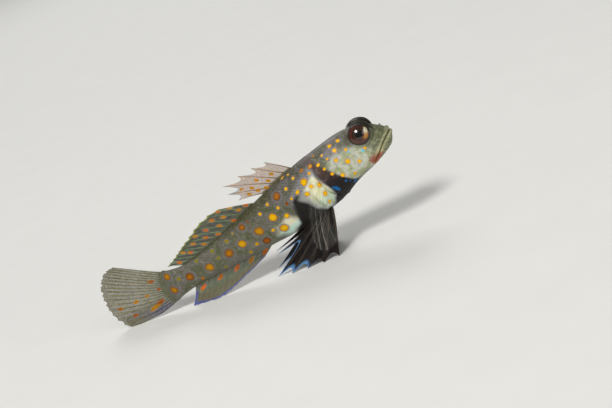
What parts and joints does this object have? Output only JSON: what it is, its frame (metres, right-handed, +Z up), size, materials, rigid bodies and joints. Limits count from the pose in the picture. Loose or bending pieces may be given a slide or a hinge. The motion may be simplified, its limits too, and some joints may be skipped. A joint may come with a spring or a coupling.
{
  "type": "spotted shrimpgoby",
  "caption": "Still life-size model of a slender spotted reef fish that rests on spread pelvic fins and its tail fin, with its head raised and eyes set high.",
  "frame": {"origin": "centre of the footprint of the bounding box, on the floor", "axes": "+X towards the head, +Y to the fish's left, +Z up"},
  "size_m": [0.0862, 0.0194, 0.029],
  "materials": {
    "skin": "moist skin, pale grey-lavender with yellow and orange spots",
    "jaw": "moist skin, pale, with yellowish streaks",
    "eye": "wet and glossy, red-brown",
    "clear_fin": "thin translucent fin skin over pale rays",
    "dark_fin": "thin black fin skin over pale rays"
  },
  "bodies": {
    "root": {"head": "skin", "lower_jaw": "jaw", "torso": "skin", "tail": "skin", "eye_left": "eye", "eye_right": "eye", "first_dorsal_fin": "clear_fin", "second_dorsal_fin": "clear_fin", "anal_fin": "clear_fin", "caudal_fin": "clear_fin", "pectoral_fin_left": "clear_fin", "pectoral_fin_right": "clear_fin", "pelvic_fin_left": "dark_fin", "pelvic_fin_right": "dark_fin"}
  },
  "joints": []
}
